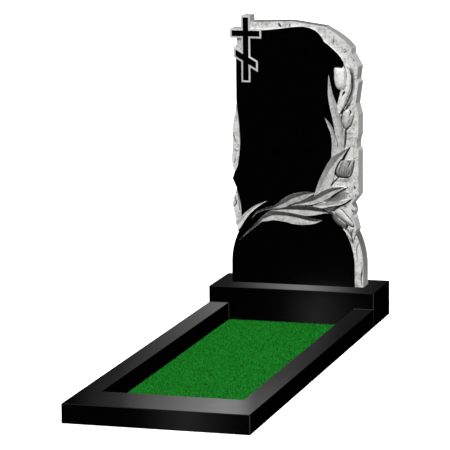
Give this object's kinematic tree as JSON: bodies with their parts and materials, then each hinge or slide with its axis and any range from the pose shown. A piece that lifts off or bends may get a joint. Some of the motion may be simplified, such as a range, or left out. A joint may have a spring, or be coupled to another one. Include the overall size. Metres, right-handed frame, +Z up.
{
  "type": "upright headstone",
  "caption": "Upright carved headstone with cross, tulips and leaves on a plinth block, with a low kerb around a mat of artificial grass.",
  "frame": {"origin": "on the ground, under the middle of the whole set", "axes": "+Z up, -Y the way the carved face looks, with the kerb in front of it, +X to the viewer's right"},
  "size_m": [0.5, 1.5, 0.8953],
  "materials": {
    "carved_stone": "polished black stone with a light tooled margin and carving",
    "polished_stone": "polished black stone",
    "artificial_grass": "short green pile"
  },
  "bodies": {
    "root": {"stele": "carved_stone", "plinth": "polished_stone", "kerb_left": "polished_stone", "kerb_right": "polished_stone", "kerb_front": "polished_stone", "turf_mat": "artificial_grass"}
  },
  "joints": []
}
